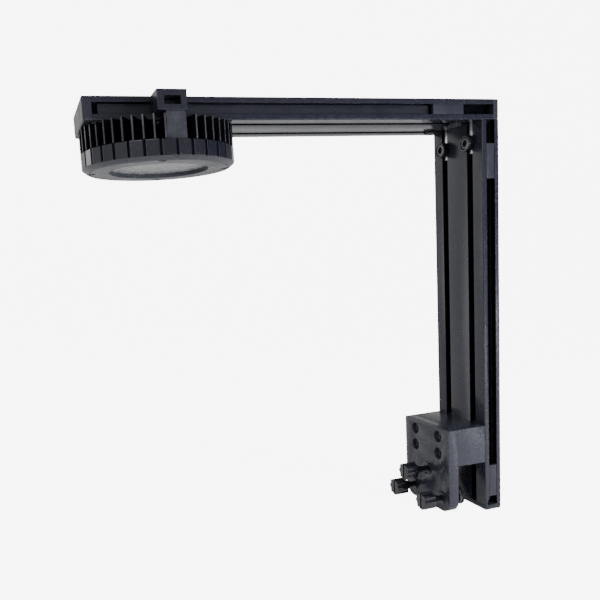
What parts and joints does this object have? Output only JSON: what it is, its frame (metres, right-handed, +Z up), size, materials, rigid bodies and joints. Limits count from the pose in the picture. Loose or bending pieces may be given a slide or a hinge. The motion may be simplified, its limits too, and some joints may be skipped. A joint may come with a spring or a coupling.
{
  "type": "clamp-on arm light",
  "caption": "L-shaped arm light: a slotted black post and level arm, a round finned lamp head that slides under the arm, and a screw clamp that grips a panel's edge.",
  "frame": {"origin": "middle of the clamp block's underside, where the top edge of the panel sits", "axes": "+Z up along the post, -X along the arm towards the lamp head, -Y the front face with the cable clips"},
  "size_m": [0.3102, 0.1048, 0.322],
  "materials": {
    "anodised_black": "satin black anodised",
    "head_black": "satin black anodised",
    "plastic_black": "matt moulded",
    "clip_grey": "matt moulded",
    "screw_black": "black oxide",
    "bare_steel": "bright zinc",
    "dark_steel": "blackened",
    "pad_rubber": "matt",
    "bezel_grey": "satin",
    "lens_frosted": "frosted",
    "silicone": "translucent",
    "board_white": "solder resist",
    "emitter_yellow": "phosphor"
  },
  "bodies": {
    "clamp": {"clamp_plate": "anodised_black", "clamp_block": "anodised_black", "clamp_screws": "dark_steel", "clamp_slot_nuts": "bare_steel", "thumb_screw_bushes": "screw_black"},
    "frame": {"post_profile": "anodised_black", "arm_profile": "anodised_black", "post_foot_cap": "plastic_black", "arm_tip_cap": "plastic_black", "arm_corner_cap": "plastic_black", "front_corner_connector": "bare_steel", "rear_corner_connector": "bare_steel", "post_corner_bolts": "dark_steel", "post_bolt_collars": "plastic_black", "arm_corner_bolts": "dark_steel", "arm_cable_clip": "clip_grey", "post_top_cable_clip": "clip_grey", "post_foot_cable_clip": "clip_grey", "arm_channel_strip": "clip_grey"},
    "head": {"bezel": "bezel_grey", "bezel_screws": "screw_black", "housing_ring": "head_black", "heat_sink": "head_black", "lens_window": "lens_frosted", "lens_gasket": "silicone", "lens_retainer": "plastic_black", "led_board": "board_white", "led_emitters": "emitter_yellow", "board_screws": "bare_steel", "cable_gland": "plastic_black", "hanger_leg_screws": "screw_black", "front_hanger_block": "anodised_black", "front_hanger_leg": "anodised_black", "front_hanger_shoe": "plastic_black", "front_hanger_screw": "screw_black", "rear_hanger_block": "anodised_black", "rear_hanger_leg": "anodised_black", "rear_hanger_shoe": "plastic_black", "rear_hanger_screw": "screw_black"},
    "top_pad": {"top_pressure_pad": "pad_rubber"},
    "top_screw": {"top_thumb_screw": "screw_black"},
    "rear_pad": {"rear_pressure_pad": "pad_rubber"},
    "rear_screw": {"rear_thumb_screw": "screw_black"},
    "front_pad": {"front_pressure_pad": "pad_rubber"},
    "front_screw": {"front_thumb_screw": "screw_black"}
  },
  "joints": [
    {"name": "frame_height", "type": "slide", "parent": "clamp", "child": "frame", "axis": [0, 0, 1], "range_m": [-0.19, 0]},
    {"name": "head_reach", "type": "slide", "parent": "frame", "child": "head", "axis": [1, 0, 0], "range_m": [-0.03, 0.155]},
    {"name": "top_pad_press", "type": "slide", "parent": "clamp", "child": "top_pad", "axis": [1, 0, 0], "range_m": [-0.00101, 0.01051]},
    {"name": "top_screw_turn", "type": "hinge", "parent": "top_pad", "child": "top_screw", "pos_m": [-0.01325, 0, -0.0082], "axis": [1, 0, 0], "range_deg": [-360, 3780]},
    {"name": "rear_pad_press", "type": "slide", "parent": "clamp", "child": "rear_pad", "axis": [1, 0, 0], "range_m": [-0.00301, 0.00851]},
    {"name": "rear_screw_turn", "type": "hinge", "parent": "rear_pad", "child": "rear_screw", "pos_m": [-0.01085, 0.019, -0.0278], "axis": [1, 0, 0], "range_deg": [-1080, 3060]},
    {"name": "front_pad_press", "type": "slide", "parent": "clamp", "child": "front_pad", "axis": [1, 0, 0], "range_m": [-0.00401, 0.00801]},
    {"name": "front_screw_turn", "type": "hinge", "parent": "front_pad", "child": "front_screw", "pos_m": [-0.01025, -0.019, -0.0278], "axis": [1, 0, 0], "range_deg": [-1440, 2880]}
  ],
  "couplings": [
    {"joint": "top_pad_press", "follows": "top_screw_turn", "m_per_rad": 0.00015915},
    {"joint": "rear_pad_press", "follows": "rear_screw_turn", "m_per_rad": 0.00015915},
    {"joint": "front_pad_press", "follows": "front_screw_turn", "m_per_rad": 0.00015915}
  ]
}
